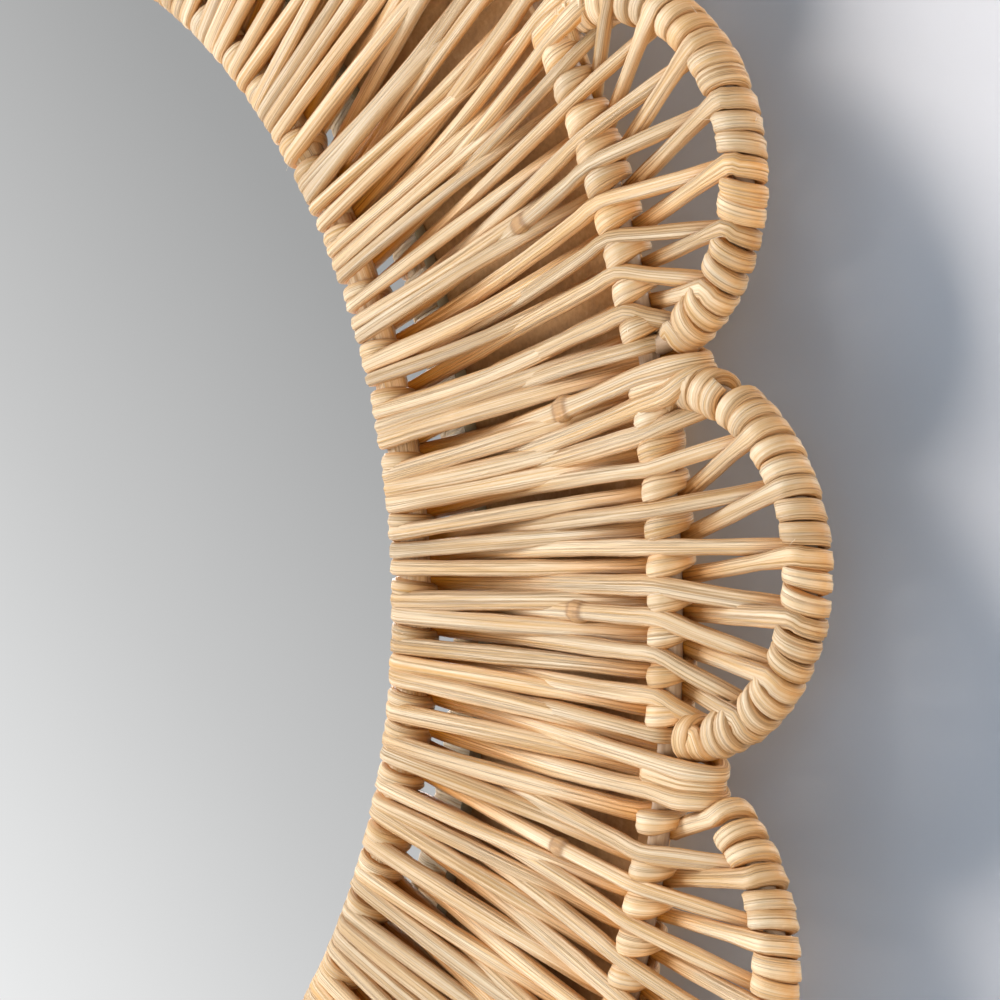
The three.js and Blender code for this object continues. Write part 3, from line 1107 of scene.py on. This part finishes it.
def build_glass():
    """The glass, silvered inside its bevelled edge."""
    profile = [
        (GLASS_RADIUS - GLASS_BEVEL, GLASS_BACK),
        (GLASS_RADIUS, GLASS_BACK + GLASS_BEVEL),
        (GLASS_RADIUS, GLASS_FRONT - GLASS_BEVEL),
        (GLASS_RADIUS - GLASS_BEVEL / 2, GLASS_FRONT),
        (GLASS_RADIUS - GLASS_BEVEL, GLASS_FRONT - GLASS_BEVEL),
        (GLASS_RADIUS - GLASS_BEVEL, SILVER_DEPTH),
    ]
    glass = turned_mesh("mirror_glass_disc", profile, DISC_SEGMENTS, closed=False)
    for face in glass.polygons:
        inside = max(math.hypot(*glass.vertices[corner].co.xz) for corner in face.vertices)
        face.material_index = 0 if inside < SILVER_EDGE else 1
        face.use_smooth = len(face.vertices) < DISC_SEGMENTS
    add_piece("mirror_glass_disc", glass, [mirror_material(), edge_reflection_material()], "mirror_glass")


def build_board():
    """The backing board, with a chamfer along its front edge."""
    profile = [
        (BOARD_RADIUS, 0.0),
        (BOARD_RADIUS, BOARD_FRONT - BOARD_CHAMFER),
        (BOARD_RADIUS - BOARD_CHAMFER, BOARD_FRONT),
    ]
    board = turned_mesh("backing_board_disc", profile, DISC_SEGMENTS, closed=False)
    board.shade_flat()
    add_piece("backing_board_disc", board, [board_material()], "backing_board")


# Camera, stage and light

def add_camera():
    """Places the camera and returns its right and up directions."""
    level = math.cos(CAMERA_ELEVATION)
    back = Vector((
        math.sin(CAMERA_AZIMUTH) * level,
        -math.cos(CAMERA_AZIMUTH) * level,
        math.sin(CAMERA_ELEVATION),
    ))
    level_right = Vector((0, 0, 1)).cross(back).normalized()
    level_up = back.cross(level_right)
    right = level_right * math.cos(CAMERA_ROLL) + level_up * math.sin(CAMERA_ROLL)
    up = level_up * math.cos(CAMERA_ROLL) - level_right * math.sin(CAMERA_ROLL)
    target = Vector((CAMERA_TARGET[0], -HOOP_PLANE, CAMERA_TARGET[1]))
    data = bpy.data.cameras.new("camera")
    data.lens = CAMERA_LENS
    data.sensor_width = SENSOR
    camera = bpy.data.objects.new("camera", data)
    turn = Matrix((right, up, back)).transposed().to_4x4()
    camera.matrix_world = Matrix.Translation(target + back * CAMERA_DISTANCE) @ turn
    bpy.context.scene.collection.objects.link(camera)
    bpy.context.scene.camera = camera
    return right, up


def stage_material(name, colour):
    """A faintly grained paint that is seen from its front alone."""
    nodes = Nodes(name)
    darker = tuple(STAGE_DARKER * value for value in colour[:3]) + (1,)
    nodes.finish(nodes.blend(nodes.even_noise(STAGE_GRAIN), colour, darker), roughness=0.9)
    behind = nodes.add("ShaderNodeNewGeometry").outputs["Backfacing"]
    see_through = nodes.add("ShaderNodeBsdfTransparent").outputs[0]
    sides = nodes.add("ShaderNodeMixShader", {0: behind, 1: nodes.shader.outputs[0], 2: see_through})
    nodes.put(nodes.tree.nodes["Material Output"].inputs[0], sides.outputs[0])
    return nodes.owner


def stage_plane(name, corners, colour):
    mesh = bpy.data.meshes.new(name)
    mesh.from_pydata(corners, [], [(0, 1, 2, 3)])
    mesh.materials.append(stage_material(name, colour))
    plane = bpy.data.objects.new(name, mesh)
    bpy.context.scene.collection.objects.link(plane)
    return plane


def add_stage():
    half = STAGE_HALF
    corners = [(-half, WALL_GAP, FLOOR_LEVEL), (half, WALL_GAP, FLOOR_LEVEL)]
    corners += [(half, WALL_GAP, WALL_TOP), (-half, WALL_GAP, WALL_TOP)]
    wall = stage_plane("wall", corners, WALL_COLOUR)
    wall.visible_shadow = False
    corners = [(-half, -half, FLOOR_LEVEL), (half, -half, FLOOR_LEVEL)]
    corners += [(half, WALL_GAP, FLOOR_LEVEL), (-half, WALL_GAP, FLOOR_LEVEL)]
    return wall, stage_plane("floor", corners, FLOOR_COLOUR)


def add_light(name, place, aim, colour, receivers, size, power):
    """A round soft light. Where receivers are given, it lights those alone."""
    data = bpy.data.lights.new(name, "AREA")
    data.shape = "DISK"
    data.size = size
    data.energy = power
    data.color = colour
    light = bpy.data.objects.new(name, data)
    light.location = place
    light.rotation_euler = (Vector(aim) - Vector(place)).to_track_quat("-Z", "Y").to_euler()
    bpy.context.scene.collection.objects.link(light)
    if receivers:
        gathered = bpy.data.collections.new(name)
        for piece in receivers:
            gathered.objects.link(piece)
        light.light_linking.receiver_collection = gathered


def add_lights(pieces, wall, floor):
    """The main light and the fill light, which the wall has apart, and a light from behind."""
    add_light("key", (-3.0, -2.4, 1.5), WEAVE_RIGHT, SOFT_WHITE, pieces + [floor], size=2.0, power=205)
    add_light("wall_key", (-1.75, -0.825, 1.725), WEAVE_RIGHT, WALL_WARM, [wall], size=1.5, power=320)
    add_light("wall_fill", (1.5, -1.2, 0.3), WALL_RIGHT, WALL_COOL, [wall], size=1.0, power=3.4)
    add_light("fill", (1.7, -0.38, 0.25), MIRROR_MIDDLE, SOFT_WHITE, None, size=0.6, power=6)
    add_light("weave_fill", (1.35, -1.25, -0.35), WEAVE_RIGHT, GOLDEN, pieces, size=0.8, power=11.5)
    add_light("behind", (0.6, 1.6, 0.8), MIRROR_MIDDLE, BACK_WHITE, None, size=1.2, power=20)


def add_world(right, up):
    """A dim studio with a soft bright band to the left, which the glass reflects."""
    nodes = Nodes("studio", bpy.data.worlds, "Background")
    seen = [Vector((side.x, -side.y, side.z)) for side in (right, up)]
    axis = (seen[0] * BAND_LEAN[0] + seen[1] * BAND_LEAN[1]).normalized()
    sockets = {0: nodes.add("ShaderNodeTexCoord").outputs["Generated"], 1: axis}
    along = nodes.add("ShaderNodeVectorMath", sockets, operation="DOT_PRODUCT").outputs["Value"]
    low, high = BAND_STOPS[0][0], BAND_STOPS[-1][0]
    ramp = nodes.add("ShaderNodeValToRGB", {0: nodes.between(along, (low, high))})
    stops = ramp.color_ramp.elements
    while len(stops) < len(BAND_STOPS):
        stops.new(0.5)
    for stop, (direction, brightness) in zip(stops, BAND_STOPS):
        stop.position = (direction - low) / (high - low)
        stop.color = (brightness, brightness, brightness, 1)
    nodes.put(nodes.shader.inputs[0], ramp.outputs[0])
    bpy.context.scene.world = nodes.owner


# The scene

rod = rod_material()
build_weaving(rattan_material(), rod, fibre_material())
build_outer_hoop(rod)
build_glass()
build_board()
right, up = add_camera()
pieces = [piece for piece in bpy.context.scene.objects if piece.type == "MESH"]
wall, floor = add_stage()
add_lights(pieces, wall, floor)
add_world(right, up)
bpy.context.scene.view_settings.view_transform = "Standard"
